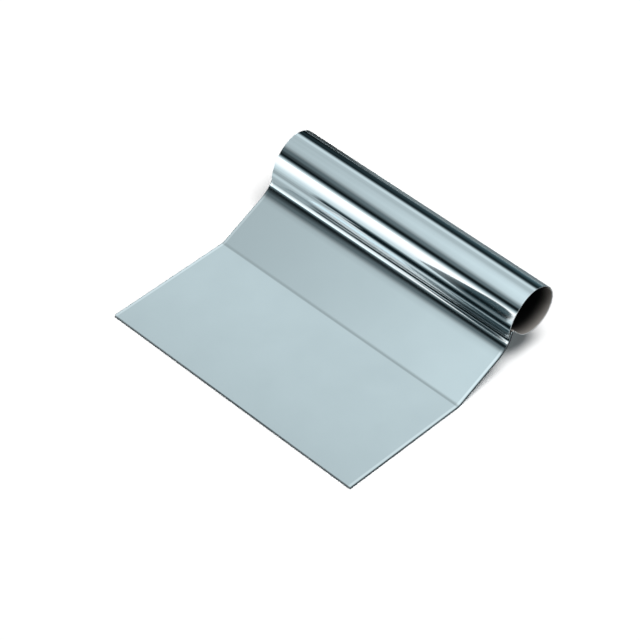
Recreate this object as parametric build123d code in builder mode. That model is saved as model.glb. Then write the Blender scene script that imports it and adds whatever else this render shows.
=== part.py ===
import os
from math import asin, atan2, cos, degrees, hypot, radians, sin
from build123d import *

# Icing smoother: a sheet blade with one shallow bend, whose rear edge kicks up into an
# open-ended handle rolled from thinner sheet.
# Millimetres. X runs along the handle, Y from the working edge back to the handle, Z up.
# The origin is on the surface that the tool rests on, under the middle of its outline.

# Blade, measured on its upper face: the kick runs from the rear panel to the seam, where
# the handle's front edge stands on the blade, and the tongue goes on behind the seam
blade_width = 152.4
blade_thickness = 1.27
front_panel_length = 69.3
rear_panel_length = 34.0
bend_angle = 25.2
bend_radius = 5.0
kick_length = 5.0
kick_angle = 44.0
kick_radius = 12.0
tongue_length = 3.6
blade_corner_radius = 0.8
blade_edge_ease = 0.2

# Handle, in the plane of its section. The tube's axis lies behind the seam along the tongue
# and drops from the tongue's upper face, by shares of the tube's radius. The cheek leaves
# the tube at the cheek angle, counted round the tube's axis from the tongue's direction.
handle_end_inset = 0.5
handle_thickness = 0.4
tube_diameter = 25.4
tube_back_share = 0.925
tube_drop_share = 1.022
cheek_angle = 48.0
flange_front = 1.2
flange_bend_clearance = 0.6
flange_bend_radius = 0.8
handle_corner_radius = 0.8

# Spot welds through the blade's tongue and the lower flange
weld_count = 7
weld_diameter = 2.4
weld_end_margin = 12.0
weld_back = 1.7
weld_dish_depth = 0.12

# Share of the sheet's thickness within which an edge counts as crossing the sheet
crossing_share = 0.01

# Places that follow from the sizes
half_width = blade_width / 2
handle_half_width = half_width - handle_end_inset
tube_radius = tube_diameter / 2
rear_along = cos(radians(bend_angle))
rear_up = sin(radians(bend_angle))
tongue_along = cos(radians(bend_angle + kick_angle))
tongue_up = sin(radians(bend_angle + kick_angle))
bend_to_seam = rear_panel_length * rear_along + kick_length * tongue_along
tube_back = tube_back_share * tube_radius
tube_drop = tube_drop_share * tube_radius
seam_to_tube_axis = tube_back * tongue_along + tube_drop * tongue_up
depth = front_panel_length + bend_to_seam + seam_to_tube_axis + tube_radius
edge_y = -depth / 2
bend_y = edge_y + front_panel_length
kick_y = bend_y + rear_panel_length * rear_along
kick_z = blade_thickness + rear_panel_length * rear_up
seam_y = kick_y + kick_length * tongue_along
seam_z = kick_z + kick_length * tongue_up
tongue_y = seam_y + tongue_length * tongue_along
tongue_z = seam_z + tongue_length * tongue_up

# Section of the handle at the seam: x along the tongue, y square to its upper face
handle_section = Plane(origin=(0, seam_y, seam_z), x_dir=(0, tongue_along, tongue_up), z_dir=(1, 0, 0))
# Upper face of the tongue at the seam: x across the blade, y up the tongue
tongue_face = Plane(origin=(0, seam_y, seam_z), x_dir=(1, 0, 0), z_dir=(0, -tongue_up, tongue_along))


def crosses_sheet(edge, thickness):
    """True for an edge that runs through the sheet, from one face to the other."""
    return abs(edge.length - thickness) < thickness * crossing_share


def corner_edges(sheet, thickness):
    """The edges through the sheet at its four corners."""
    ends = sheet.faces().filter_by(Axis.X)
    return ends.edges().filter_by(lambda edge: crosses_sheet(edge, thickness))


def rim_edges(sheet, thickness):
    """The edges along both faces of the sheet where it was cut to its outline."""
    cut_faces = sheet.faces().filter_by(
        lambda face: any(crosses_sheet(edge, thickness) for edge in face.edges())
    )
    return cut_faces.edges().filter_by(lambda edge: not crosses_sheet(edge, thickness))


# Weld spots: one straight row across the tongue, behind the seam
weld_radius = weld_diameter / 2
weld_pitch = (blade_width - 2 * weld_end_margin) / (weld_count - 1)
weld_depth = blade_thickness + handle_thickness

with BuildSketch(tongue_face) as weld_spots:
    with Locations((0, weld_back)):
        with GridLocations(weld_pitch, 0, weld_count, 1):
            Circle(weld_radius)

# Blade: one sheet with a shallow bend and a rounded kick, its corners rounded a little and
# its edges eased
with BuildPart() as blade:
    with BuildSketch(Plane.YZ):
        with BuildLine() as upper_face:
            Polyline(
                (edge_y, blade_thickness),
                (bend_y, blade_thickness),
                (kick_y, kick_z),
                (tongue_y, tongue_z),
            )
            bend_corner = upper_face.vertices().sort_by_distance((bend_y, blade_thickness))[0]
            fillet(bend_corner, radius=bend_radius)
            kick_corner = upper_face.vertices().sort_by_distance((kick_y, kick_z))[0]
            fillet(kick_corner, radius=kick_radius)
            offset(amount=blade_thickness, side=Side.RIGHT)
        make_face()
    extrude(amount=half_width, both=True)
    fillet(corner_edges(blade, blade_thickness), radius=blade_corner_radius)
    fillet(rim_edges(blade, blade_thickness), radius=blade_edge_ease)
    extrude(weld_spots.sketch, amount=-blade_thickness, mode=Mode.SUBTRACT)

blade.part.label = "blade"

# Handle: from the flange under the tongue, down the neck, round the tube, and down the
# bulging cheek to its front edge, which stands on the blade along the seam. The neck and
# the cheek run tangent into the tube. The line is the sheet's inner face, which is the one
# that seats on the blade.
bore_radius = tube_radius - handle_thickness
flange_foot = tongue_length + flange_bend_clearance
foot_to_axis_back = tube_back - flange_foot
foot_to_axis_up = blade_thickness - tube_drop
foot_to_axis = hypot(foot_to_axis_back, foot_to_axis_up)
neck_length = (foot_to_axis**2 - bore_radius**2) ** 0.5
neck_angle = degrees(atan2(foot_to_axis_up, foot_to_axis_back) - asin(bore_radius / foot_to_axis))
quarter_turn = 90
bore_start_angle = neck_angle - quarter_turn
bore_turn = cheek_angle - bore_start_angle

with BuildPart() as handle:
    with BuildSketch(handle_section):
        with BuildLine() as inner_face:
            flange = Line((-flange_front, -blade_thickness), (flange_foot, -blade_thickness))
            neck = PolarLine(flange @ 1, neck_length, neck_angle)
            bore = CenterArc((tube_back, -tube_drop), bore_radius, bore_start_angle, bore_turn)
            TangentArc(bore @ 1, (0, 0), tangent=bore % 1)
            flange_corner = inner_face.vertices().sort_by_distance(flange @ 1)[0]
            fillet(flange_corner, radius=flange_bend_radius)
            offset(amount=handle_thickness, side=Side.LEFT)
        make_face()
    extrude(amount=handle_half_width, both=True)
    fillet(corner_edges(handle, handle_thickness), radius=handle_corner_radius)
    extrude(weld_spots.sketch, amount=-weld_depth, mode=Mode.SUBTRACT)

handle.part.label = "handle"

# Spot welds: each nugget joins the tongue to the flange, and the electrode leaves a
# shallow dish in its underside
dish_radius = (weld_radius**2 + weld_dish_depth**2) / (2 * weld_dish_depth)
dish_drop = weld_depth + dish_radius - weld_dish_depth

with BuildPart() as spot_welds:
    extrude(weld_spots.sketch, amount=-weld_depth)
    with Locations(tongue_face.offset(-dish_drop)):
        with Locations((0, weld_back)):
            with GridLocations(weld_pitch, 0, weld_count, 1):
                Sphere(dish_radius, mode=Mode.SUBTRACT)

spot_welds.part.label = "spot_welds"

os.makedirs("parts", exist_ok=True)
export_step(blade.part, "parts/blade.step")
export_step(handle.part, "parts/handle.step")
export_step(spot_welds.part, "parts/spot_welds.step")

tube_axis_y = seam_y + seam_to_tube_axis
tube_axis_z = seam_z + tube_back * tongue_up - tube_drop * tongue_along
pieces = [blade.part, handle.part, spot_welds.part]
volume = sum(piece.volume for piece in pieces)
balance_y = sum(piece.center(CenterOf.MASS).Y * piece.volume for piece in pieces) / volume
print(f"tube axis at y {tube_axis_y:.2f}, z {tube_axis_z:.2f}, bore radius {bore_radius:.2f}")
print(f"bend at y {bend_y:.2f}, balance point at y {balance_y:.2f}, volume {volume:.0f}")
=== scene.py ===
from math import asin, atan2, ceil, cos, hypot, pi, radians, sin, tan

import bpy
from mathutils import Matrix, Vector


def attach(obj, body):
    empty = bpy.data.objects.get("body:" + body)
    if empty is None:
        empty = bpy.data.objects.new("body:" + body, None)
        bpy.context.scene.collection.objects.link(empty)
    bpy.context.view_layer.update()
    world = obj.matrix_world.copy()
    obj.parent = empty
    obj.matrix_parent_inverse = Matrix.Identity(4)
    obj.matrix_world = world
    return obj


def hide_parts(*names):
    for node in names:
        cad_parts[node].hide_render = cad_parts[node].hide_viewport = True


# Icing smoother: two bent sheets of polished stainless steel and the row of spot welds
# that joins them, on a white table. Metres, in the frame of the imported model.
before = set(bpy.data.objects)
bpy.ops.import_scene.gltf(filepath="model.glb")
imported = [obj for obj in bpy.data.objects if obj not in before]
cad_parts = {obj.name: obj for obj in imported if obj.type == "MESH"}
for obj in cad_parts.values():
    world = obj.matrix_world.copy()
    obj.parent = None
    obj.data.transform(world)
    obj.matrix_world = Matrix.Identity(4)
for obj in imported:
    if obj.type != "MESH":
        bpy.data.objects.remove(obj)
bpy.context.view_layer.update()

MM = 0.001

# Blade, measured along its upper face
BLADE_WIDTH = 152.4 * MM
BLADE_THICKNESS = 1.27 * MM
FRONT_PANEL_LENGTH = 69.3 * MM
REAR_PANEL_LENGTH = 34.0 * MM
BEND_ANGLE = radians(25.2)
BEND_RADIUS = 5.0 * MM
KICK_LENGTH = 5.0 * MM
KICK_ANGLE = radians(44.0)
TONGUE_LENGTH = 3.6 * MM
BLADE_CORNER_RADIUS = 0.8 * MM
BLADE_EDGE_EASE = 0.3 * MM

# The kick turns in two arcs: a wide sweep, whose corner is at this distance up the rear
# panel, and a tighter arc after it
SWEEP_START = 31.2 * MM
SWEEP_ANGLE = radians(23.0)
SWEEP_RADIUS = 22.0 * MM
KICK_RADIUS = 5.1 * MM

# Handle, in its section at the seam: x along the blade's tongue, y square to it
HANDLE_END_INSET = 0.5 * MM
HANDLE_THICKNESS = 0.4 * MM
TUBE_RADIUS = 12.7 * MM
TUBE_BACK = 0.925 * TUBE_RADIUS
TUBE_DROP = 1.022 * TUBE_RADIUS
CHEEK_ANGLE = radians(48.0)
FLANGE_FRONT = 1.2 * MM
FLANGE_BEND_CLEARANCE = 0.6 * MM
FLANGE_FOOT = TONGUE_LENGTH + FLANGE_BEND_CLEARANCE
FLANGE_BEND_RADIUS = 0.8 * MM
HANDLE_CORNER_RADIUS = 0.8 * MM
HANDLE_EDGE_EASE = 0.1 * MM

# Which side of the handle's sheet is the inner one
INNER_SIDE = -1.0

# Spot welds
WELD_COUNT = 7
WELD_RADIUS = 1.2 * MM
WELD_END_MARGIN = 12.0 * MM
WELD_BACK = 1.7 * MM
WELD_DISH_DEPTH = 0.12 * MM
WELD_PROUD = 0.03 * MM
WELD_SIDES = 32
WELD_RINGS = 6

# How finely the sheets' lines are divided
ARC_STEP = radians(1.0)
STRAIGHT_STEP = 8.0 * MM
END_STEPS = 7
EASE_STEPS = 5
SAME_SPOT = 0.002 * MM

# Where the sheets go, seen along the handle
QUARTER = pi / 2
TONGUE_ANGLE = BEND_ANGLE + KICK_ANGLE
REAR_RUN = REAR_PANEL_LENGTH * cos(BEND_ANGLE)
REAR_RISE = REAR_PANEL_LENGTH * sin(BEND_ANGLE)
KICK_RUN = KICK_LENGTH * cos(TONGUE_ANGLE)
KICK_RISE = KICK_LENGTH * sin(TONGUE_ANGLE)
SEAM_TO_AXIS = TUBE_BACK * cos(TONGUE_ANGLE) + TUBE_DROP * sin(TONGUE_ANGLE)
BLADE_EDGE_Y = -(FRONT_PANEL_LENGTH + REAR_RUN + KICK_RUN + SEAM_TO_AXIS + TUBE_RADIUS) / 2
SEAM_Y = BLADE_EDGE_Y + FRONT_PANEL_LENGTH + REAR_RUN + KICK_RUN
SEAM_Z = BLADE_THICKNESS + REAR_RISE + KICK_RISE

# Camera of the photograph
CAMERA_PLACE = (0.6625, -0.6728, 0.9314)
CAMERA_AIM = (-0.5035, 0.5059, -0.7004)
CAMERA_LENS = 162.3
CAMERA_SENSOR = 36.0
PHOTO_WIDTH = 640
HALF_PIXEL = 0.5 / PHOTO_WIDTH


# Node helpers

def feed(tree, socket, value):
    """Links another node's socket to this one, or sets this one's value."""
    if isinstance(value, bpy.types.NodeSocket):
        tree.links.new(value, socket)
    else:
        socket.default_value = value


def add(tree, kind, inputs=(), **settings):
    """A node with its settings made, and its inputs set or linked."""
    node = tree.nodes.new(kind)
    for name, value in settings.items():
        setattr(node, name, value)
    for key, value in dict(inputs).items():
        feed(tree, node.inputs[key], value)
    return node


def work_out(tree, operation, first, second=0.0, third=0.0):
    """The result of one sum in a geometry or shader tree."""
    node = add(tree, "ShaderNodeMath", {0: first, 1: second, 2: third}, operation=operation)
    return node.outputs[0]


def rising(tree, value, start, full):
    """A mask that is 0 up to start and 1 from full on."""
    node = add(tree, "ShaderNodeMapRange", {"Value": value, "From Min": start, "From Max": full})
    return node.outputs[0]


def window_mask(tree, value, start, full, fade, end):
    """A mask that rises from start to full and falls from fade to end."""
    rise = rising(tree, value, start, full)
    return work_out(tree, "MULTIPLY", rise, rising(tree, value, end, fade))


def new_group(name, kind, inputs, output):
    """A node group with its named sockets, and its input and output nodes."""
    tree = bpy.data.node_groups.new(name, kind)
    for socket_name, socket_type in inputs:
        tree.interface.new_socket(socket_name, in_out="INPUT", socket_type=socket_type)
    socket_name, socket_type = output
    tree.interface.new_socket(socket_name, in_out="OUTPUT", socket_type=socket_type)
    return tree, tree.nodes.new("NodeGroupInput").outputs, tree.nodes.new("NodeGroupOutput").inputs


# Lines of the sheets' faces: runs of (length, turn), turning left if the turn is positive.
# The sheet's thickness lies on the right of the line.

def straight(length):
    return (length, 0.0)


def arc(radius, turn):
    return (radius * abs(turn), turn)


def step_along(spot, run, distance):
    """The (y, z, heading) reached by going some distance into a run."""
    y, z, heading = spot
    length, turn = run
    if turn == 0:
        return (y + distance * cos(heading), z + distance * sin(heading), heading)
    radius = length / turn
    new_heading = heading + distance / radius
    across = radius * (sin(new_heading) - sin(heading))
    up = radius * (cos(heading) - cos(new_heading))
    return (y + across, z + up, new_heading)


def end_marks(length, end_rounding):
    """Distances near a sheet's two ends, closest where its edge and corners are rounded."""
    marks = []
    for depth in end_rounding:
        for step in range(END_STEPS + 1):
            mark = depth * (1 - cos(QUARTER * step / END_STEPS))
            marks += [mark, length - mark]
    return marks


def stations(runs, end_rounding):
    """Distances along the whole line at which the sheet gets a row of vertices."""
    marks = []
    start = 0.0
    for length, turn in runs:
        count = max(ceil(abs(turn) / ARC_STEP), ceil(length / STRAIGHT_STEP))
        marks += [start + length * step / count for step in range(count + 1)]
        start += length
    marks = sorted(marks + end_marks(start, end_rounding))
    kept = [marks[0]]
    for mark in marks[1:-1]:
        if mark - kept[-1] > SAME_SPOT and start - mark > SAME_SPOT:
            kept.append(mark)
    return kept + [start]


def spine_mesh(name, spot, runs, thickness, end_rounding):
    """A chain of edges along the middle of the sheet, with each point's distance along it."""
    marks = stations(runs, end_rounding)
    total = marks[-1]
    points = []
    start = 0.0
    index = 0
    for mark in marks:
        while index < len(runs) - 1 and mark > start + runs[index][0]:
            spot = step_along(spot, runs[index], runs[index][0])
            start += runs[index][0]
            index += 1
        y, z, heading = step_along(spot, runs[index], mark - start)
        y += sin(heading) * thickness / 2
        z -= cos(heading) * thickness / 2
        points.append((0.0, y, z))
    mesh = bpy.data.meshes.new(name)
    mesh.from_pydata(points, [(i, i + 1) for i in range(len(points) - 1)], [])
    along = mesh.attributes.new("along", "FLOAT", "POINT")
    to_end = mesh.attributes.new("to_end", "FLOAT", "POINT")
    for i, mark in enumerate(marks):
        along.data[i].value = mark
        to_end.data[i].value = min(mark, total - mark)
    return mesh


def blade_runs():
    """The blade's upper face from the working edge to the end of the tongue."""
    last_turn = KICK_ANGLE - SWEEP_ANGLE
    bend_cut = BEND_RADIUS * tan(BEND_ANGLE / 2)
    sweep_cut = SWEEP_RADIUS * tan(SWEEP_ANGLE / 2)
    kick_cut = KICK_RADIUS * tan(last_turn / 2)
    on = REAR_PANEL_LENGTH - SWEEP_START + KICK_LENGTH * cos(KICK_ANGLE)
    up = KICK_LENGTH * sin(KICK_ANGLE)
    sweep_length = (on * sin(KICK_ANGLE) - up * cos(KICK_ANGLE)) / sin(last_turn)
    last_length = (up * cos(SWEEP_ANGLE) - on * sin(SWEEP_ANGLE)) / sin(last_turn)
    return [
        straight(FRONT_PANEL_LENGTH - bend_cut),
        arc(BEND_RADIUS, BEND_ANGLE),
        straight(SWEEP_START - bend_cut - sweep_cut),
        arc(SWEEP_RADIUS, SWEEP_ANGLE),
        straight(sweep_length - sweep_cut - kick_cut),
        arc(KICK_RADIUS, last_turn),
        straight(last_length - kick_cut + TONGUE_LENGTH),
    ]


def handle_runs():
    """The handle's inner face: flange, fold, neck, tube and cheek, down to the seam."""
    bore_radius = TUBE_RADIUS - HANDLE_THICKNESS
    axis_back = TUBE_BACK - FLANGE_FOOT
    axis_up = BLADE_THICKNESS - TUBE_DROP
    foot_to_axis = hypot(axis_back, axis_up)
    neck_angle = atan2(axis_up, axis_back) - asin(bore_radius / foot_to_axis)
    neck_length = (foot_to_axis**2 - bore_radius**2) ** 0.5
    fold_cut = FLANGE_BEND_RADIUS * tan(-neck_angle / 2)
    leave_y = TUBE_BACK + bore_radius * cos(CHEEK_ANGLE)
    leave_z = bore_radius * sin(CHEEK_ANGLE) - TUBE_DROP
    chord = hypot(leave_y, leave_z)
    half_turn = atan2(-leave_z, -leave_y) - (CHEEK_ANGLE + QUARTER)
    return [
        straight(FLANGE_FOOT + FLANGE_FRONT - fold_cut),
        arc(FLANGE_BEND_RADIUS, neck_angle),
        straight(neck_length - fold_cut),
        arc(bore_radius, CHEEK_ANGLE - neck_angle + QUARTER),
        arc(chord / (2 * sin(half_turn)), 2 * half_turn),
    ]


def on_tongue(back, up):
    """The (y, z) of a place given in the section at the seam."""
    y = SEAM_Y + back * cos(TONGUE_ANGLE) - up * sin(TONGUE_ANGLE)
    z = SEAM_Z + back * sin(TONGUE_ANGLE) + up * cos(TONGUE_ANGLE)
    return y, z


# Bent sheet: a rounded oblong swept along the sheet's middle line, drawn in towards its
# two ends, so that the edges there are eased and the corners rounded

def drawn_in(tree, distance, depth):
    """How far a rounded end has drawn the outline in, at some distance from that end."""
    left = work_out(tree, "SUBTRACT", depth, distance)
    left = work_out(tree, "MAXIMUM", left, 0.0)
    squares = work_out(tree, "MULTIPLY", depth, depth)
    squares = work_out(tree, "SUBTRACT", squares, work_out(tree, "MULTIPLY", left, left))
    return work_out(tree, "SUBTRACT", depth, work_out(tree, "SQRT", squares))


def share_kept(tree, size, inset):
    """The share of a width or thickness that is left after both its sides are drawn in."""
    both = work_out(tree, "MULTIPLY", inset, 2.0)
    return work_out(tree, "DIVIDE", work_out(tree, "SUBTRACT", size, both), size)


def carried(tree, name, data_type):
    """A value that the mesh carries at its points."""
    node = add(tree, "GeometryNodeInputNamedAttribute", {"Name": name}, data_type=data_type)
    return node.outputs[0]


def finished(tree, geometry, material):
    """The geometry as one mesh in its material."""
    real = add(tree, "GeometryNodeRealizeInstances", {"Geometry": geometry})
    made = add(tree, "GeometryNodeSetMaterial", {"Geometry": real.outputs[0], "Material": material})
    return made.outputs[0]


def bent_sheet_tree():
    inputs = (
        ("Spine", "NodeSocketGeometry"),
        ("Width", "NodeSocketFloat"),
        ("Thickness", "NodeSocketFloat"),
        ("Edge Ease", "NodeSocketFloat"),
        ("Corner Radius", "NodeSocketFloat"),
        ("Ease Steps", "NodeSocketInt"),
        ("Material", "NodeSocketMaterial"),
    )
    output = ("Sheet", "NodeSocketGeometry")
    tree, given, result = new_group("Bent sheet", "GeometryNodeTree", inputs, output)
    line = add(tree, "GeometryNodeMeshToCurve", {"Mesh": given["Spine"]})
    across = add(tree, "GeometryNodeSetCurveNormal", {"Curve": line.outputs[0]}, mode="FREE")
    across.inputs["Normal"].default_value = (1.0, 0.0, 0.0)
    place = add(tree, "GeometryNodeInputPosition")
    middle = add(
        tree,
        "GeometryNodeStoreNamedAttribute",
        {"Geometry": across.outputs[0], "Name": "middle", "Value": place.outputs[0]},
        data_type="FLOAT_VECTOR",
    )
    oblong = add(
        tree,
        "GeometryNodeCurvePrimitiveQuadrilateral",
        {"Width": given["Width"], "Height": given["Thickness"]},
    )
    eased = add(
        tree,
        "GeometryNodeFilletCurve",
        {"Curve": oblong.outputs[0], "Count": given["Ease Steps"], "Radius": given["Edge Ease"]},
        mode="POLY",
    )
    height = add(tree, "ShaderNodeSeparateXYZ", {0: place.outputs[0]}).outputs["Y"]
    sided = add(
        tree,
        "GeometryNodeStoreNamedAttribute",
        {"Geometry": eased.outputs[0], "Name": "face_side", "Value": work_out(tree, "SIGN", height)},
        data_type="FLOAT",
    )
    swept = add(
        tree,
        "GeometryNodeCurveToMesh",
        {"Curve": middle.outputs[0], "Profile Curve": sided.outputs[0], "Fill Caps": True},
    )
    to_end = carried(tree, "to_end", "FLOAT")
    centre = carried(tree, "middle", "FLOAT_VECTOR")
    width_share = share_kept(tree, given["Width"], drawn_in(tree, to_end, given["Corner Radius"]))
    depth_share = share_kept(tree, given["Thickness"], drawn_in(tree, to_end, given["Edge Ease"]))
    shares = add(tree, "ShaderNodeCombineXYZ", {"X": width_share, "Y": depth_share, "Z": depth_share})
    from_centre = add(tree, "ShaderNodeVectorMath", {0: place.outputs[0], 1: centre}, operation="SUBTRACT")
    scaled = add(
        tree,
        "ShaderNodeVectorMath",
        {0: from_centre.outputs[0], 1: shares.outputs[0], 2: centre},
        operation="MULTIPLY_ADD",
    )
    drawn = add(
        tree,
        "GeometryNodeSetPosition",
        {"Geometry": swept.outputs[0], "Position": scaled.outputs[0]},
    )
    smooth = add(tree, "GeometryNodeSetShadeSmooth", {"Geometry": drawn.outputs[0]})
    feed(tree, result["Sheet"], finished(tree, smooth.outputs[0], given["Material"]))
    return tree


# Row of nuggets: short cylinders, dished underneath, set out along a line

def weld_row_tree():
    inputs = (
        ("Base", "NodeSocketGeometry"),
        ("Count", "NodeSocketInt"),
        ("Pitch", "NodeSocketFloat"),
        ("Radius", "NodeSocketFloat"),
        ("Length", "NodeSocketFloat"),
        ("Dish Depth", "NodeSocketFloat"),
        ("Middle", "NodeSocketVector"),
        ("Tilt", "NodeSocketFloat"),
        ("Material", "NodeSocketMaterial"),
    )
    output = ("Row", "NodeSocketGeometry")
    tree, given, result = new_group("Weld row", "GeometryNodeTree", inputs, output)
    nugget = add(
        tree,
        "GeometryNodeMeshCylinder",
        {
            "Vertices": WELD_SIDES,
            "Side Segments": 1,
            "Fill Segments": WELD_RINGS,
            "Radius": given["Radius"],
            "Depth": given["Length"],
        },
        fill_type="TRIANGLE_FAN",
    )
    place = add(tree, "GeometryNodeInputPosition")
    parts = add(tree, "ShaderNodeSeparateXYZ", {0: place.outputs[0]})
    out = work_out(tree, "POWER", parts.outputs["X"], 2.0)
    out = work_out(tree, "ADD", out, work_out(tree, "POWER", parts.outputs["Y"], 2.0))
    out = work_out(tree, "DIVIDE", out, work_out(tree, "POWER", given["Radius"], 2.0))
    hollow = work_out(tree, "MAXIMUM", work_out(tree, "SUBTRACT", 1.0, out), 0.0)
    hollow = work_out(tree, "MULTIPLY", hollow, given["Dish Depth"])
    lower = work_out(tree, "LESS_THAN", parts.outputs["Z"], 0.0)
    lift = add(tree, "ShaderNodeCombineXYZ", {"Z": work_out(tree, "MULTIPLY", hollow, lower)})
    dished = add(
        tree,
        "GeometryNodeSetPosition",
        {"Geometry": nugget.outputs["Mesh"], "Offset": lift.outputs[0]},
    )
    span = work_out(tree, "MULTIPLY", given["Pitch"], work_out(tree, "SUBTRACT", given["Count"], 1.0))
    to_first = add(tree, "ShaderNodeCombineXYZ", {"X": work_out(tree, "MULTIPLY", span, -0.5)})
    first = add(tree, "ShaderNodeVectorMath", {0: given["Middle"], 1: to_first.outputs[0]}, operation="ADD")
    gap = add(tree, "ShaderNodeCombineXYZ", {"X": given["Pitch"]})
    row = add(
        tree,
        "GeometryNodeMeshLine",
        {"Count": given["Count"], "Start Location": first.outputs[0], "Offset": gap.outputs[0]},
    )
    turn = add(tree, "ShaderNodeCombineXYZ", {"X": given["Tilt"]})
    placed = add(
        tree,
        "GeometryNodeInstanceOnPoints",
        {"Points": row.outputs[0], "Instance": dished.outputs[0], "Rotation": turn.outputs[0]},
    )
    feed(tree, result["Row"], finished(tree, placed.outputs[0], given["Material"]))
    return tree


def grow(name, mesh, tree, sizes):
    """Runs a geometry tree on a mesh with its inputs set, and keeps the result as a mesh."""
    base = bpy.data.objects.new(name + "_base", mesh)
    bpy.context.scene.collection.objects.link(base)
    modifier = base.modifiers.new("Shape", "NODES")
    modifier.node_group = tree
    for item in tree.interface.items_tree:
        if item.name in sizes:
            modifier[item.identifier] = sizes[item.name]
    weighted = base.modifiers.new("Even shading", "WEIGHTED_NORMAL")
    weighted.mode = "FACE_AREA"
    weighted.keep_sharp = True
    base.update_tag()
    graph = bpy.context.evaluated_depsgraph_get()
    shape = bpy.data.meshes.new_from_object(base.evaluated_get(graph))
    shape.name = name
    bpy.data.objects.remove(base)
    piece = bpy.data.objects.new(name, shape)
    bpy.context.scene.collection.objects.link(piece)
    return piece


# Finishes. Each steel is uneven between two colours and two roughnesses.

HANDLE_COLOURS = ((0.66, 0.71, 0.73, 1.0), (0.64, 0.69, 0.71, 1.0))
HANDLE_ROUGHNESS = (0.045, 0.065)
HANDLE_SMUDGES = 60.0
HANDLE_GRAIN = {"Fineness": 900.0, "Stretch": 0.04}
HANDLE_GRAIN_STRENGTH = 0.02
HANDLE_RIM_REACH = 0.45 * MM

BLADE_COLOURS = ((0.58, 0.625, 0.64, 1.0), (0.565, 0.61, 0.625, 1.0))
BLADE_ROUGHNESS = (0.07, 0.10)
BLADE_SMUDGES = 40.0
BLADE_GRAIN = {"Fineness": 1200.0, "Stretch": 0.03}
BLADE_GRAIN_STRENGTH = 0.04
BLADE_RIM_REACH = 0.35 * MM

WELD_COLOURS = ((0.42, 0.40, 0.36, 1.0), (0.30, 0.32, 0.38, 1.0))
WELD_ROUGHNESS = (0.35, 0.5)
WELD_SMUDGES = 900.0

SMUDGE_DETAIL = 3.0
SMUDGE_SPREAD = (0.35, 0.7)
GRAIN_DETAIL = 2.0
GRAIN_HEIGHT = 0.01 * MM

# Cut edges: the handle's carry a painted highlight. The blade's carry painted shade, with a painted
# highlight band beside them that comes and goes at these distances from the blade's sides.
EDGE_HIGHLIGHT_COLOUR = (0.90, 0.93, 0.94, 1.0)
RIM_ROUGHNESS = 0.15
CUT_EDGE_SHADE_COLOUR = (0.22, 0.24, 0.25, 1.0)
EDGE_HIGHLIGHT_BAND = (0.3 * MM, 0.6 * MM, 1.2 * MM, 1.8 * MM)
EDGE_HIGHLIGHT_SHARE = 0.55

# Painted shade along the line where the blade was bent, which is rougher there too
BEND_SHADE_COLOUR = (0.40, 0.43, 0.43, 1.0)
BEND_SHADE_SHARE = 0.5
CREASE_REACH = 1.0 * MM
CREASE_ROUGHNESS = 0.08

# Inner face of the tube: rougher and less metallic, with painted shade that deepens away from the ends over
# this reach
INSIDE_SHADE_REACH = 8.0 * MM
INSIDE_SHADE_DEEP = (0.004, 0.004, 0.004, 1.0)
INSIDE_AT_END = (0.50, 0.47, 0.44, 1.0)
INSIDE_METAL = 0.5
INSIDE_ROUGHNESS = 0.45


def object_place(tree):
    return add(tree, "ShaderNodeTexCoord").outputs["Object"]


def smudge_group():
    """Soft uneven patches, such as wiped fingerprints leave on polished steel."""
    inputs = (("Place", "NodeSocketVector"), ("Scale", "NodeSocketFloat"))
    tree, given, result = new_group("Smudges", "ShaderNodeTree", inputs, ("Mask", "NodeSocketFloat"))
    noise = add(
        tree,
        "ShaderNodeTexNoise",
        {"Vector": given["Place"], "Scale": given["Scale"], "Detail": SMUDGE_DETAIL},
    )
    feed(tree, result["Mask"], rising(tree, noise.outputs[0], *SMUDGE_SPREAD))
    return tree


def grain_group():
    """Fine lines that run across the blade, from rolling and polishing the sheet."""
    inputs = (
        ("Place", "NodeSocketVector"),
        ("Fineness", "NodeSocketFloat"),
        ("Stretch", "NodeSocketFloat"),
    )
    tree, given, result = new_group("Grain", "ShaderNodeTree", inputs, ("Height", "NodeSocketFloat"))
    stretch = add(tree, "ShaderNodeCombineXYZ", {"X": given["Stretch"], "Y": 1.0, "Z": 1.0})
    both = {0: given["Place"], 1: stretch.outputs[0]}
    place = add(tree, "ShaderNodeVectorMath", both, operation="MULTIPLY")
    noise = add(
        tree,
        "ShaderNodeTexNoise",
        {"Vector": place.outputs[0], "Scale": given["Fineness"], "Detail": GRAIN_DETAIL},
    )
    feed(tree, result["Height"], noise.outputs[0])
    return tree


def edge_group():
    """A mask along the sheet's cut edges: 1 on the edge, 0 from the given reach inwards."""
    inputs = (
        ("Place", "NodeSocketVector"),
        ("To End", "NodeSocketFloat"),
        ("Half Width", "NodeSocketFloat"),
        ("Reach", "NodeSocketFloat"),
    )
    tree, given, result = new_group("Sheet edge", "ShaderNodeTree", inputs, ("Mask", "NodeSocketFloat"))
    parts = add(tree, "ShaderNodeSeparateXYZ", {0: given["Place"]})
    side = work_out(tree, "ABSOLUTE", parts.outputs["X"])
    side = work_out(tree, "SUBTRACT", given["Half Width"], side)
    nearest = work_out(tree, "MINIMUM", side, given["To End"])
    nearest = work_out(tree, "DIVIDE", nearest, given["Reach"])
    mask = add(tree, "ShaderNodeMath", {0: 1.0, 1: nearest}, operation="SUBTRACT", use_clamp=True)
    feed(tree, result["Mask"], mask.outputs[0])
    return tree


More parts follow.
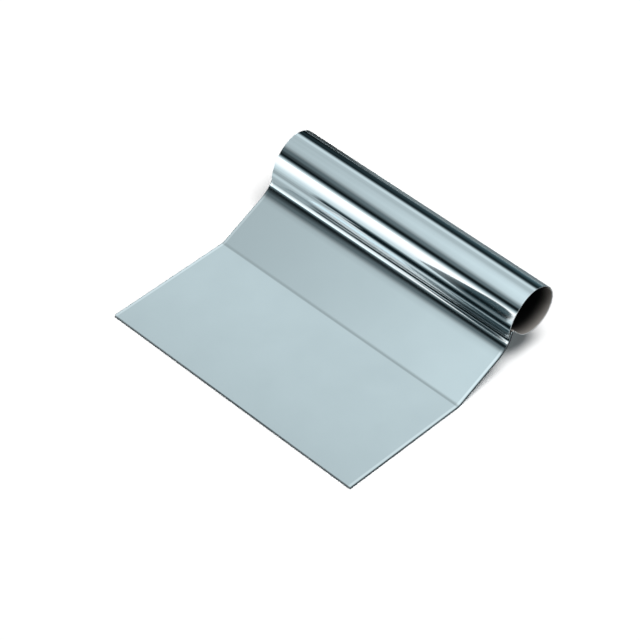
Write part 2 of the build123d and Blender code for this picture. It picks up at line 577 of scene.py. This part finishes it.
def line_group():
    """A mask along one crease: 1 on the line, fading to 0 over its reach on both sides."""
    inputs = (("Along", "NodeSocketFloat"), ("At", "NodeSocketFloat"), ("Reach", "NodeSocketFloat"))
    tree, given, result = new_group("Crease line", "ShaderNodeTree", inputs, ("Mask", "NodeSocketFloat"))
    away = work_out(tree, "ABSOLUTE", work_out(tree, "SUBTRACT", given["Along"], given["At"]))
    away = work_out(tree, "DIVIDE", away, given["Reach"])
    mask = add(tree, "ShaderNodeMath", {0: 1.0, 1: away}, operation="SUBTRACT", use_clamp=True)
    feed(tree, result["Mask"], mask.outputs[0])
    return tree


def group(tree, made, inputs):
    node = tree.nodes.new("ShaderNodeGroup")
    node.node_tree = made
    for name, value in inputs.items():
        feed(tree, node.inputs[name], value)
    return node.outputs[0]


def mixed(tree, share, first, second):
    """A blend of two colours."""
    node = add(tree, "ShaderNodeMix", data_type="RGBA")
    feed(tree, node.inputs["Factor"], share)
    feed(tree, node.inputs[6], first)
    feed(tree, node.inputs[7], second)
    return node.outputs[2]


def spread_between(tree, mask, low, high):
    """A value that goes from low to high as the mask goes from 0 to 1."""
    node = add(tree, "ShaderNodeMapRange", {"Value": mask, "To Min": low, "To Max": high})
    return node.outputs[0]


def attribute(tree, name):
    return add(tree, "ShaderNodeAttribute", attribute_name=name).outputs["Fac"]


def steel(name):
    """A new metal material: its tree and its shader."""
    material = bpy.data.materials.new(name)
    material.use_nodes = True
    tree = material.node_tree
    shader = tree.nodes["Principled BSDF"]
    shader.inputs["Metallic"].default_value = 1.0
    return material, tree, shader


def grained(tree, place, grain, sizes, strength):
    """The way the face points, with its fine grain."""
    lines = group(tree, grain, {"Place": place, **sizes})
    relief = {"Strength": strength, "Distance": GRAIN_HEIGHT, "Height": lines}
    return add(tree, "ShaderNodeBump", relief).outputs[0]


def handle_steel(smudges, grain, edge):
    """Mirror-polished stainless steel with a painted highlight on its cut edges; its inner face is rougher
    and less metallic, with painted shade that deepens away from the ends.
    """
    material, tree, shader = steel("Polished handle steel")
    place = object_place(tree)
    half_width = BLADE_WIDTH / 2 - HANDLE_END_INSET
    sizes = {"Place": place, "To End": attribute(tree, "to_end"), "Half Width": half_width}
    rim = group(tree, edge, {**sizes, "Reach": HANDLE_RIM_REACH})
    near_end = group(tree, edge, {**sizes, "To End": half_width, "Reach": INSIDE_SHADE_REACH})
    near_end = work_out(tree, "POWER", near_end, 2.0)
    side = attribute(tree, "face_side")
    inside = work_out(tree, "MAXIMUM", work_out(tree, "MULTIPLY", side, INNER_SIDE), 0.0)
    marks = group(tree, smudges, {"Place": place, "Scale": HANDLE_SMUDGES})
    colour = mixed(tree, marks, *HANDLE_COLOURS)
    # Painted shade: the inner face darkens to near black away from the tube's ends
    inner = mixed(tree, near_end, INSIDE_SHADE_DEEP, INSIDE_AT_END)
    colour = mixed(tree, inside, colour, inner)
    # Painted highlight on the handle's cut edges
    feed(tree, shader.inputs["Base Color"], mixed(tree, rim, colour, EDGE_HIGHLIGHT_COLOUR))
    feed(tree, shader.inputs["Metallic"], spread_between(tree, inside, 1.0, INSIDE_METAL))
    rough = spread_between(tree, marks, *HANDLE_ROUGHNESS)
    rough = work_out(tree, "MULTIPLY_ADD", inside, INSIDE_ROUGHNESS, rough)
    rough = work_out(tree, "MULTIPLY_ADD", rim, RIM_ROUGHNESS, rough)
    feed(tree, shader.inputs["Roughness"], rough)
    bump = grained(tree, place, grain, HANDLE_GRAIN, HANDLE_GRAIN_STRENGTH)
    feed(tree, shader.inputs["Normal"], bump)
    return material


def blade_steel(smudges, grain, edge, crease):
    """Glossy stainless sheet with a faint grain, painted shade along the line where it was bent (which is
    rougher there), painted shade on its cut edges and a painted highlight band beside its sides.
    """
    material, tree, shader = steel("Glossy blade steel")
    place = object_place(tree)
    half_width = BLADE_WIDTH / 2
    sizes = {"Place": place, "To End": attribute(tree, "to_end"), "Half Width": half_width}
    rim = group(tree, edge, {**sizes, "Reach": BLADE_RIM_REACH})
    along = attribute(tree, "along")
    bend = group(tree, crease, {"Along": along, "At": FRONT_PANEL_LENGTH, "Reach": CREASE_REACH})
    x = add(tree, "ShaderNodeSeparateXYZ", {0: place}).outputs["X"]
    from_side = work_out(tree, "SUBTRACT", half_width, work_out(tree, "ABSOLUTE", x))
    # Painted highlight: a pale band on the face just inside the blade's sides
    side_highlight = window_mask(tree, from_side, *EDGE_HIGHLIGHT_BAND)
    marks = group(tree, smudges, {"Place": place, "Scale": BLADE_SMUDGES})
    colour = mixed(tree, marks, *BLADE_COLOURS)
    # Painted shade along the bend line
    colour = mixed(tree, work_out(tree, "MULTIPLY", bend, BEND_SHADE_SHARE), colour, BEND_SHADE_COLOUR)
    band = work_out(tree, "MULTIPLY", side_highlight, EDGE_HIGHLIGHT_SHARE)
    colour = mixed(tree, band, colour, EDGE_HIGHLIGHT_COLOUR)
    # Painted shade on the blade's cut edges, which are also rougher
    feed(tree, shader.inputs["Base Color"], mixed(tree, rim, colour, CUT_EDGE_SHADE_COLOUR))
    rough = spread_between(tree, marks, *BLADE_ROUGHNESS)
    rough = work_out(tree, "MULTIPLY_ADD", bend, CREASE_ROUGHNESS, rough)
    rough = work_out(tree, "MULTIPLY_ADD", rim, RIM_ROUGHNESS, rough)
    feed(tree, shader.inputs["Roughness"], rough)
    bump = grained(tree, place, grain, BLADE_GRAIN, BLADE_GRAIN_STRENGTH)
    feed(tree, shader.inputs["Normal"], bump)
    return material


def weld_steel(smudges):
    """Dull gray nuggets with straw and blue tints from the heat."""
    material, tree, shader = steel("Weld steel")
    marks = group(tree, smudges, {"Place": object_place(tree), "Scale": WELD_SMUDGES})
    feed(tree, shader.inputs["Base Color"], mixed(tree, marks, *WELD_COLOURS))
    feed(tree, shader.inputs["Roughness"], spread_between(tree, marks, *WELD_ROUGHNESS))
    return material


# Pieces

def build_blade(sheet_tree, material):
    spine = spine_mesh(
        "blade_spine",
        (BLADE_EDGE_Y, BLADE_THICKNESS, 0.0),
        blade_runs(),
        BLADE_THICKNESS,
        (BLADE_EDGE_EASE, BLADE_CORNER_RADIUS),
    )
    sizes = {
        "Width": BLADE_WIDTH,
        "Thickness": BLADE_THICKNESS,
        "Edge Ease": BLADE_EDGE_EASE,
        "Corner Radius": BLADE_CORNER_RADIUS,
        "Ease Steps": EASE_STEPS,
        "Material": material,
    }
    piece = grow("blade_sheet", spine, sheet_tree, sizes)
    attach(piece, "root")
    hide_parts("blade")
    return piece


def build_handle(sheet_tree, material):
    start_y, start_z = on_tongue(-FLANGE_FRONT, -BLADE_THICKNESS)
    spine = spine_mesh(
        "handle_spine",
        (start_y, start_z, TONGUE_ANGLE),
        handle_runs(),
        HANDLE_THICKNESS,
        (HANDLE_EDGE_EASE, HANDLE_CORNER_RADIUS),
    )
    sizes = {
        "Width": BLADE_WIDTH - 2 * HANDLE_END_INSET,
        "Thickness": HANDLE_THICKNESS,
        "Edge Ease": HANDLE_EDGE_EASE,
        "Corner Radius": HANDLE_CORNER_RADIUS,
        "Ease Steps": EASE_STEPS,
        "Material": material,
    }
    piece = grow("handle_sheet", spine, sheet_tree, sizes)
    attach(piece, "root")
    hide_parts("handle")
    return piece


def build_welds(row_tree, material):
    both_sheets = BLADE_THICKNESS + HANDLE_THICKNESS
    middle_y, middle_z = on_tongue(WELD_BACK, -both_sheets / 2)
    sizes = {
        "Count": WELD_COUNT,
        "Pitch": (BLADE_WIDTH - 2 * WELD_END_MARGIN) / (WELD_COUNT - 1),
        "Radius": WELD_RADIUS,
        "Length": both_sheets + 2 * WELD_PROUD,
        "Dish Depth": WELD_DISH_DEPTH,
        "Middle": (0.0, middle_y, middle_z),
        "Tilt": TONGUE_ANGLE,
        "Material": material,
    }
    piece = grow("weld_nuggets", bpy.data.meshes.new("weld_line"), row_tree, sizes)
    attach(piece, "root")
    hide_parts("spot_welds")
    return piece


def build_smoother():
    smudges = smudge_group()
    grain = grain_group()
    edge = edge_group()
    sheet_tree = bent_sheet_tree()
    build_blade(sheet_tree, blade_steel(smudges, grain, edge, line_group()))
    build_handle(sheet_tree, handle_steel(smudges, grain, edge))
    build_welds(weld_row_tree(), weld_steel(smudges))


# Surroundings

# Brightness of the studio round the handle's direction, by the angle from straight behind
# (0), over the top (90), to straight in front (180): (degrees, brightness)
STUDIO = (
    (0, 0.17),
    (12, 0.07),
    (28, 0.028),
    (35, 0.015),
    (41, 0.24),
    (47, 0.92),
    (54.5, 1.0),
    (60, 0.74),
    (72, 0.69),
    (84, 0.84),
    (104, 0.92),
    (118.5, 0.80),
    (125, 0.44),
    (129, 0.22),
    (134, 0.22),
    (140, 0.01),
    (144, 0.01),
    (147, 0.18),
    (151, 0.85),
    (156, 1.60),
    (170, 1.50),
    (180, 1.05),
)
# Steel seems bluer where it mirrors the dark parts of the studio
DARK_TINT = (0.50, 1.0, 1.20)
LIGHT_TINT = (0.87, 1.0, 1.04)
DARK_BELOW = 0.3
WHITE_LEVEL = 1.3
FULL_TURN = 360.0
# What lights the matt surfaces
DIFFUSE_LIGHT = (1.0, 1.0, 1.0, 1.0)
DIFFUSE_STRENGTH = 0.08
# The studio changes from the way that the tool's middle mirrors to the way that its right end
# mirrors, and as much the other way on the left. Each change acts on one sector, in degrees:
# it comes in from the first angle to the second and goes from the third to the fourth.
MIDDLE_WAY = -0.497
RIGHT_WAY = -0.461
LEAN_LIMIT = 1.1
CEILING = (70, 90, 126, 138)
CEILING_CHANGE = 0.18
CEILING_EDGE = (105, 113, 134, 139)
CEILING_SLANT = 3.5 / FULL_TURN
BEHIND = (-36, 0, 12, 26)
BEHIND_CHANGE = 0.85


def tinted(level):
    """The colour of a part of the studio with that brightness."""
    if level >= WHITE_LEVEL:
        return (level, level, level, 1.0)
    share = min(level / DARK_BELOW, 1.0)
    tint = [dark + (light - dark) * share for dark, light in zip(DARK_TINT, LIGHT_TINT)]
    return (level * tint[0], level * tint[1], level * tint[2], 1.0)


def direction_angle(tree, parts):
    """The angle round the handle's direction, as a share of a full turn."""
    angle = work_out(tree, "ARCTAN2", parts.outputs["Z"], parts.outputs["Y"])
    angle = work_out(tree, "DIVIDE", angle, 2 * pi)
    return work_out(tree, "FRACT", work_out(tree, "ADD", angle, 1.0))


def sector_mask(tree, angle, degrees):
    """A mask over one sector of the studio."""
    start, full, fade, end = [degree / FULL_TURN for degree in degrees]
    return window_mask(tree, angle, start, full, fade, end)


def level_ramp(tree, value, levels, start, span):
    """A colour ramp of brightness levels, each given with its place."""
    share = work_out(tree, "DIVIDE", work_out(tree, "SUBTRACT", value, start), span)
    ramp = add(tree, "ShaderNodeValToRGB", {"Fac": share})
    stops = ramp.color_ramp.elements
    while len(stops) < len(levels):
        stops.new(1.0)
    for stop, (place, level) in zip(stops, levels):
        stop.position = (place - start) / span
        stop.color = tinted(level)
    return ramp.outputs[0]


def build_world():
    world = bpy.data.worlds.new("Studio")
    bpy.context.scene.world = world
    world.use_nodes = True
    tree = world.node_tree
    tree.nodes.clear()
    way = add(tree, "ShaderNodeTexCoord").outputs["Generated"]
    parts = add(tree, "ShaderNodeSeparateXYZ", {0: way})
    angle = direction_angle(tree, parts)
    lean = work_out(tree, "SUBTRACT", parts.outputs["X"], MIDDLE_WAY)
    lean = work_out(tree, "DIVIDE", lean, RIGHT_WAY - MIDDLE_WAY)
    lean = work_out(tree, "MINIMUM", lean, LEAN_LIMIT)
    lean = work_out(tree, "MAXIMUM", lean, -LEAN_LIMIT)
    at_edge = work_out(tree, "MULTIPLY", lean, sector_mask(tree, angle, CEILING_EDGE))
    slant = work_out(tree, "MULTIPLY", at_edge, CEILING_SLANT)
    seen_at = work_out(tree, "MULTIPLY", work_out(tree, "SUBTRACT", angle, slant), FULL_TURN)
    studio = level_ramp(tree, seen_at, STUDIO, 0.0, FULL_TURN)
    change = work_out(tree, "MULTIPLY", sector_mask(tree, angle, CEILING), CEILING_CHANGE)
    behind = sector_mask(tree, angle, BEHIND)
    change = work_out(tree, "MULTIPLY_ADD", behind, BEHIND_CHANGE, change)
    graded = work_out(tree, "MULTIPLY_ADD", change, lean, 1.0)
    glossy = add(tree, "ShaderNodeBackground", {"Color": studio, "Strength": graded})
    paths = add(tree, "ShaderNodeLightPath")
    strength = spread_between(tree, paths.outputs["Is Camera Ray"], DIFFUSE_STRENGTH, 1.0)
    plain = add(tree, "ShaderNodeBackground", {"Color": DIFFUSE_LIGHT, "Strength": strength})
    seen = add(tree, "ShaderNodeMixShader", {0: paths.outputs["Is Glossy Ray"], 1: plain.outputs[0]})
    feed(tree, seen.inputs[2], glossy.outputs[0])
    add(tree, "ShaderNodeOutputWorld", {"Surface": seen.outputs[0]})


# Table as the steel mirrors it, a painted reflection that glows in place of its lighting, with a painted
# contact shadow just in front of the working edge: (y in metres, brightness)
TABLE_LEVELS = (
    (-0.40, 1.0),
    (-0.24, 0.9),
    (-0.075, 0.68),
    (-0.0665, 0.30),
    (-0.060, 0.66),
    (-0.035, 0.46),
    (-0.008, 0.95),
    (0.006, 0.62),
    (0.08, 0.12),
    (0.10, 0.15),
    (0.13, 0.22),
    (0.17, 0.32),
    (0.33, 0.285),
    (0.60, 0.23),
)
# Dark stretch of the table in front of the tool, which the handle mirrors directly
FRONT_LEVELS = (
    (-0.40, 1.0),
    (-0.30, 0.83),
    (-0.238, 0.45),
    (-0.157, 0.17),
    (-0.112, 0.05),
    (-0.082, 0.01),
    (-0.068, 0.01),
)
TABLE_START = -0.4
TABLE_SPAN = 1.2
# Where the dark stretch shows: before the working edge and right of a slanting line
FRONT_SLANT = -0.6
FRONT_SLANT_Y = 0.037
FRONT_FADE = (-0.056, -0.046)
FRONT_EDGE_Y = -0.068
ONE_BOUNCE = 1.5
# Behind the handle the mirrored table is darker on the left of another slanting line
LEFT_SLANT = 0.54
LEFT_SLANT_Y = 0.060
LEFT_FADE = (-0.068, -0.037)
LEFT_CHANGE = -0.72
LEFT_DEPTH = (0.03, 0.06)
# Beside the blade's right side it carries painted shadow too
BESIDE_SHADOW_BAND = (0.0762, 0.0770, 0.095, 0.12)
BESIDE_SHADOW_LEVEL = 0.25

TABLE_SIZE = 4.0
TABLE_DROP = 0.05 * MM
# The table's own whiteness, and the share of its white that doesn't depend on the light
TABLE_WHITE = 0.95
TABLE_GLOW = 0.03

LAMP_STRENGTH = 3.2
LAMP_ANGLE = radians(28)
LAMP_WAY = (0.3, 0.0, 1.0)


def slanted(tree, x, y, slant, start_y):
    """The place across the tool, measured from a line that slants as it goes back."""
    return work_out(tree, "MULTIPLY_ADD", work_out(tree, "SUBTRACT", y, start_y), slant, x)


def dark_front(tree, x, y):
    """A mask over the dark stretch in front of the tool, for rays mirrored only once."""
    dark = rising(tree, slanted(tree, x, y, FRONT_SLANT, FRONT_SLANT_Y), *FRONT_FADE)
    dark = work_out(tree, "MULTIPLY", dark, work_out(tree, "LESS_THAN", y, FRONT_EDGE_Y))
    bounces = add(tree, "ShaderNodeLightPath").outputs["Ray Depth"]
    return work_out(tree, "MULTIPLY", dark, work_out(tree, "LESS_THAN", bounces, ONE_BOUNCE))


def left_share(tree, x, y):
    """The share of the table's brightness that is left behind the handle's left end."""
    sizes = {
        "Value": slanted(tree, x, y, LEFT_SLANT, LEFT_SLANT_Y),
        "From Min": LEFT_FADE[0],
        "From Max": LEFT_FADE[1],
        "To Min": LEFT_CHANGE,
        "To Max": 0.0,
    }
    change = add(tree, "ShaderNodeMapRange", sizes).outputs[0]
    return work_out(tree, "MULTIPLY_ADD", change, rising(tree, y, *LEFT_DEPTH), 1.0)


def painted_table_reflection(tree):
    """The table as the steel mirrors it, a painted reflection that glows in place of its lighting:
    dark in front of the tool where the handle mirrors it directly, darker behind its left end,
    and with painted shadow beside its right side."""
    parts = add(tree, "ShaderNodeSeparateXYZ", {0: object_place(tree)})
    x = parts.outputs["X"]
    y = parts.outputs["Y"]
    level = level_ramp(tree, y, TABLE_LEVELS, TABLE_START, TABLE_SPAN)
    front = level_ramp(tree, y, FRONT_LEVELS, TABLE_START, TABLE_SPAN)
    level = mixed(tree, dark_front(tree, x, y), level, front)
    # Painted shadow on the mirrored table beside the blade's right side
    beside = spread_between(tree, window_mask(tree, x, *BESIDE_SHADOW_BAND), 1.0, BESIDE_SHADOW_LEVEL)
    share = work_out(tree, "MULTIPLY", left_share(tree, x, y), beside)
    return add(tree, "ShaderNodeEmission", {"Color": level, "Strength": share}).outputs[0]


def blank_material(name):
    """A new material without nodes, and its tree."""
    material = bpy.data.materials.new(name)
    material.use_nodes = True
    material.node_tree.nodes.clear()
    return material, material.node_tree


def table_material():
    material, tree = blank_material("White table")
    paths = add(tree, "ShaderNodeLightPath")
    matt = add(tree, "ShaderNodeBsdfDiffuse", {"Color": (TABLE_WHITE, TABLE_WHITE, TABLE_WHITE, 1.0)})
    glow = add(tree, "ShaderNodeEmission", {"Color": (1.0, 1.0, 1.0, 1.0), "Strength": TABLE_GLOW})
    plain = add(tree, "ShaderNodeAddShader", {0: matt.outputs[0], 1: glow.outputs[0]})
    seen = add(tree, "ShaderNodeMixShader", {0: paths.outputs["Is Glossy Ray"], 1: plain.outputs[0]})
    feed(tree, seen.inputs[2], painted_table_reflection(tree))
    add(tree, "ShaderNodeOutputMaterial", {"Surface": seen.outputs[0]})
    return material


def staged(name, points, material):
    """A flat face that is part of the surroundings."""
    mesh = bpy.data.meshes.new(name)
    mesh.from_pydata(points, [], [tuple(range(len(points)))])
    mesh.materials.append(material)
    face = bpy.data.objects.new(name, mesh)
    bpy.context.scene.collection.objects.link(face)
    return face


def build_table():
    half = TABLE_SIZE / 2
    corners = ((-half, -half), (half, -half), (half, half), (-half, half))
    staged("table", [(x, y, -TABLE_DROP) for x, y in corners], table_material())


# Shapes in front of the tool, which only its mirrored bands show. Outlines are given as
# (x, height), and levels as (height, brightness).

# Near shape, paler towards its left end
NEAR_LEVELS = (
    (0.0, 0.005),
    (0.008, 0.010),
    (0.012, 0.05),
    (0.0165, 0.13),
    (0.020, 0.45),
    (0.026, 1.2),
)
NEAR_Y = -0.072
NEAR_TOP = 0.026
NEAR_LEFT = -0.119
NEAR_LEFT_BODY = -0.112
NEAR_OUTLINE = ((-0.119, 0.0), (0.040, 0.0), (0.040, 0.026), (-0.070, 0.026), (-0.119, 0.008))

# Far shape, paler towards its left tip
FAR_LEVELS = (
    (0.0, 0.15),
    (0.014, 0.27),
    (0.026, 0.13),
    (0.036, 0.03),
    (0.050, 0.005),
    (0.062, 0.04),
    (0.080, 0.11),
    (0.110, 0.13),
    (0.135, 0.25),
)
FAR_Y = -0.164
FAR_TOP = 0.135
FAR_OUTLINE = (
    (-0.096, 0.040),
    (-0.075, 0.024),
    (-0.060, 0.008),
    (-0.031, 0.006),
    (-0.031, 0.060),
    (-0.033, 0.085),
    (-0.038, 0.108),
    (-0.045, 0.122),
    (-0.052, 0.125),
    (-0.058, 0.1205),
    (-0.071, 0.0965),
    (-0.089, 0.0600),
)
FAR_TIP = -0.096
FAR_BODY = -0.062
# How bright both pale ends are
TIP_LEVEL = 0.45

# Bright card, higher up on the left
CARD_Y = -0.200
CARD_LEVEL = 1.9
CARD_OUTLINE = ((-0.270, 0.096), (-0.142, 0.096), (-0.142, 0.150), (-0.270, 0.150))

# How many times a ray has been mirrored when it shows the near shape
TWO_BOUNCES = 2.0
BOUNCE_MARGIN = 0.5


def dark_material(name, levels, top, pale_from, pale_to):
    """Brightness by height, and paler from pale_to on towards pale_from."""
    material, tree = blank_material(name)
    parts = add(tree, "ShaderNodeSeparateXYZ", {0: object_place(tree)})
    level = level_ramp(tree, parts.outputs["Z"], levels, 0.0, top)
    pale = rising(tree, parts.outputs["X"], pale_to, pale_from)
    colour = mixed(tree, pale, level, tinted(TIP_LEVEL))
    glow = add(tree, "ShaderNodeEmission", {"Color": colour})
    output = add(tree, "ShaderNodeOutputMaterial", {"Surface": glow.outputs[0]})
    return material, tree, glow, output


def near_material():
    """The near shape shows only where the handle mirrors it by way of the blade."""
    material, tree, glow, output = dark_material(
        "Near shape",
        NEAR_LEVELS,
        NEAR_TOP,
        NEAR_LEFT,
        NEAR_LEFT_BODY,
    )
    bounces = add(tree, "ShaderNodeLightPath").outputs["Ray Depth"]
    twice = work_out(tree, "COMPARE", bounces, TWO_BOUNCES, BOUNCE_MARGIN)
    clear = add(tree, "ShaderNodeBsdfTransparent")
    seen = add(tree, "ShaderNodeMixShader", {0: twice, 1: clear.outputs[0], 2: glow.outputs[0]})
    feed(tree, output.inputs["Surface"], seen.outputs[0])
    return material


def card_material():
    material, tree = blank_material("Bright card")
    glow = add(tree, "ShaderNodeEmission", {"Color": tinted(1.0), "Strength": CARD_LEVEL})
    add(tree, "ShaderNodeOutputMaterial", {"Surface": glow.outputs[0]})
    return material


def only_mirrored(face):
    """Only the steel's reflections show this face."""
    face.visible_camera = False
    face.visible_diffuse = False
    face.visible_shadow = False
    face.visible_transmission = False


def upright(name, y, outline, material):
    """A flat shape that stands across the tool's front, and shows only in the reflections."""
    only_mirrored(staged(name, [(x, y, z) for x, z in outline], material))


def build_shapes():
    far_look = dark_material("Far shape", FAR_LEVELS, FAR_TOP, FAR_TIP, FAR_BODY)[0]
    upright("near_shape", NEAR_Y, NEAR_OUTLINE, near_material())
    upright("far_shape", FAR_Y, FAR_OUTLINE, far_look)
    upright("bright_card", CARD_Y, CARD_OUTLINE, card_material())


def build_lamp():
    lamp = bpy.data.lights.new("window", "SUN")
    lamp.energy = LAMP_STRENGTH
    lamp.angle = LAMP_ANGLE
    window = bpy.data.objects.new("window", lamp)
    bpy.context.scene.collection.objects.link(window)
    window.rotation_euler = Vector(LAMP_WAY).to_track_quat("Z", "Y").to_euler()
    window.visible_glossy = False


def build_camera():
    data = bpy.data.cameras.new("photo_camera")
    data.lens = CAMERA_LENS
    data.sensor_width = CAMERA_SENSOR
    data.sensor_fit = "HORIZONTAL"
    data.shift_x = -HALF_PIXEL
    data.shift_y = HALF_PIXEL
    camera = bpy.data.objects.new("photo_camera", data)
    camera.location = CAMERA_PLACE
    camera.rotation_euler = Vector(CAMERA_AIM).to_track_quat("-Z", "Y").to_euler()
    bpy.context.scene.collection.objects.link(camera)
    bpy.context.scene.camera = camera


bpy.context.scene.view_settings.view_transform = "Standard"
build_smoother()
build_world()
build_table()
build_shapes()
build_lamp()
build_camera()
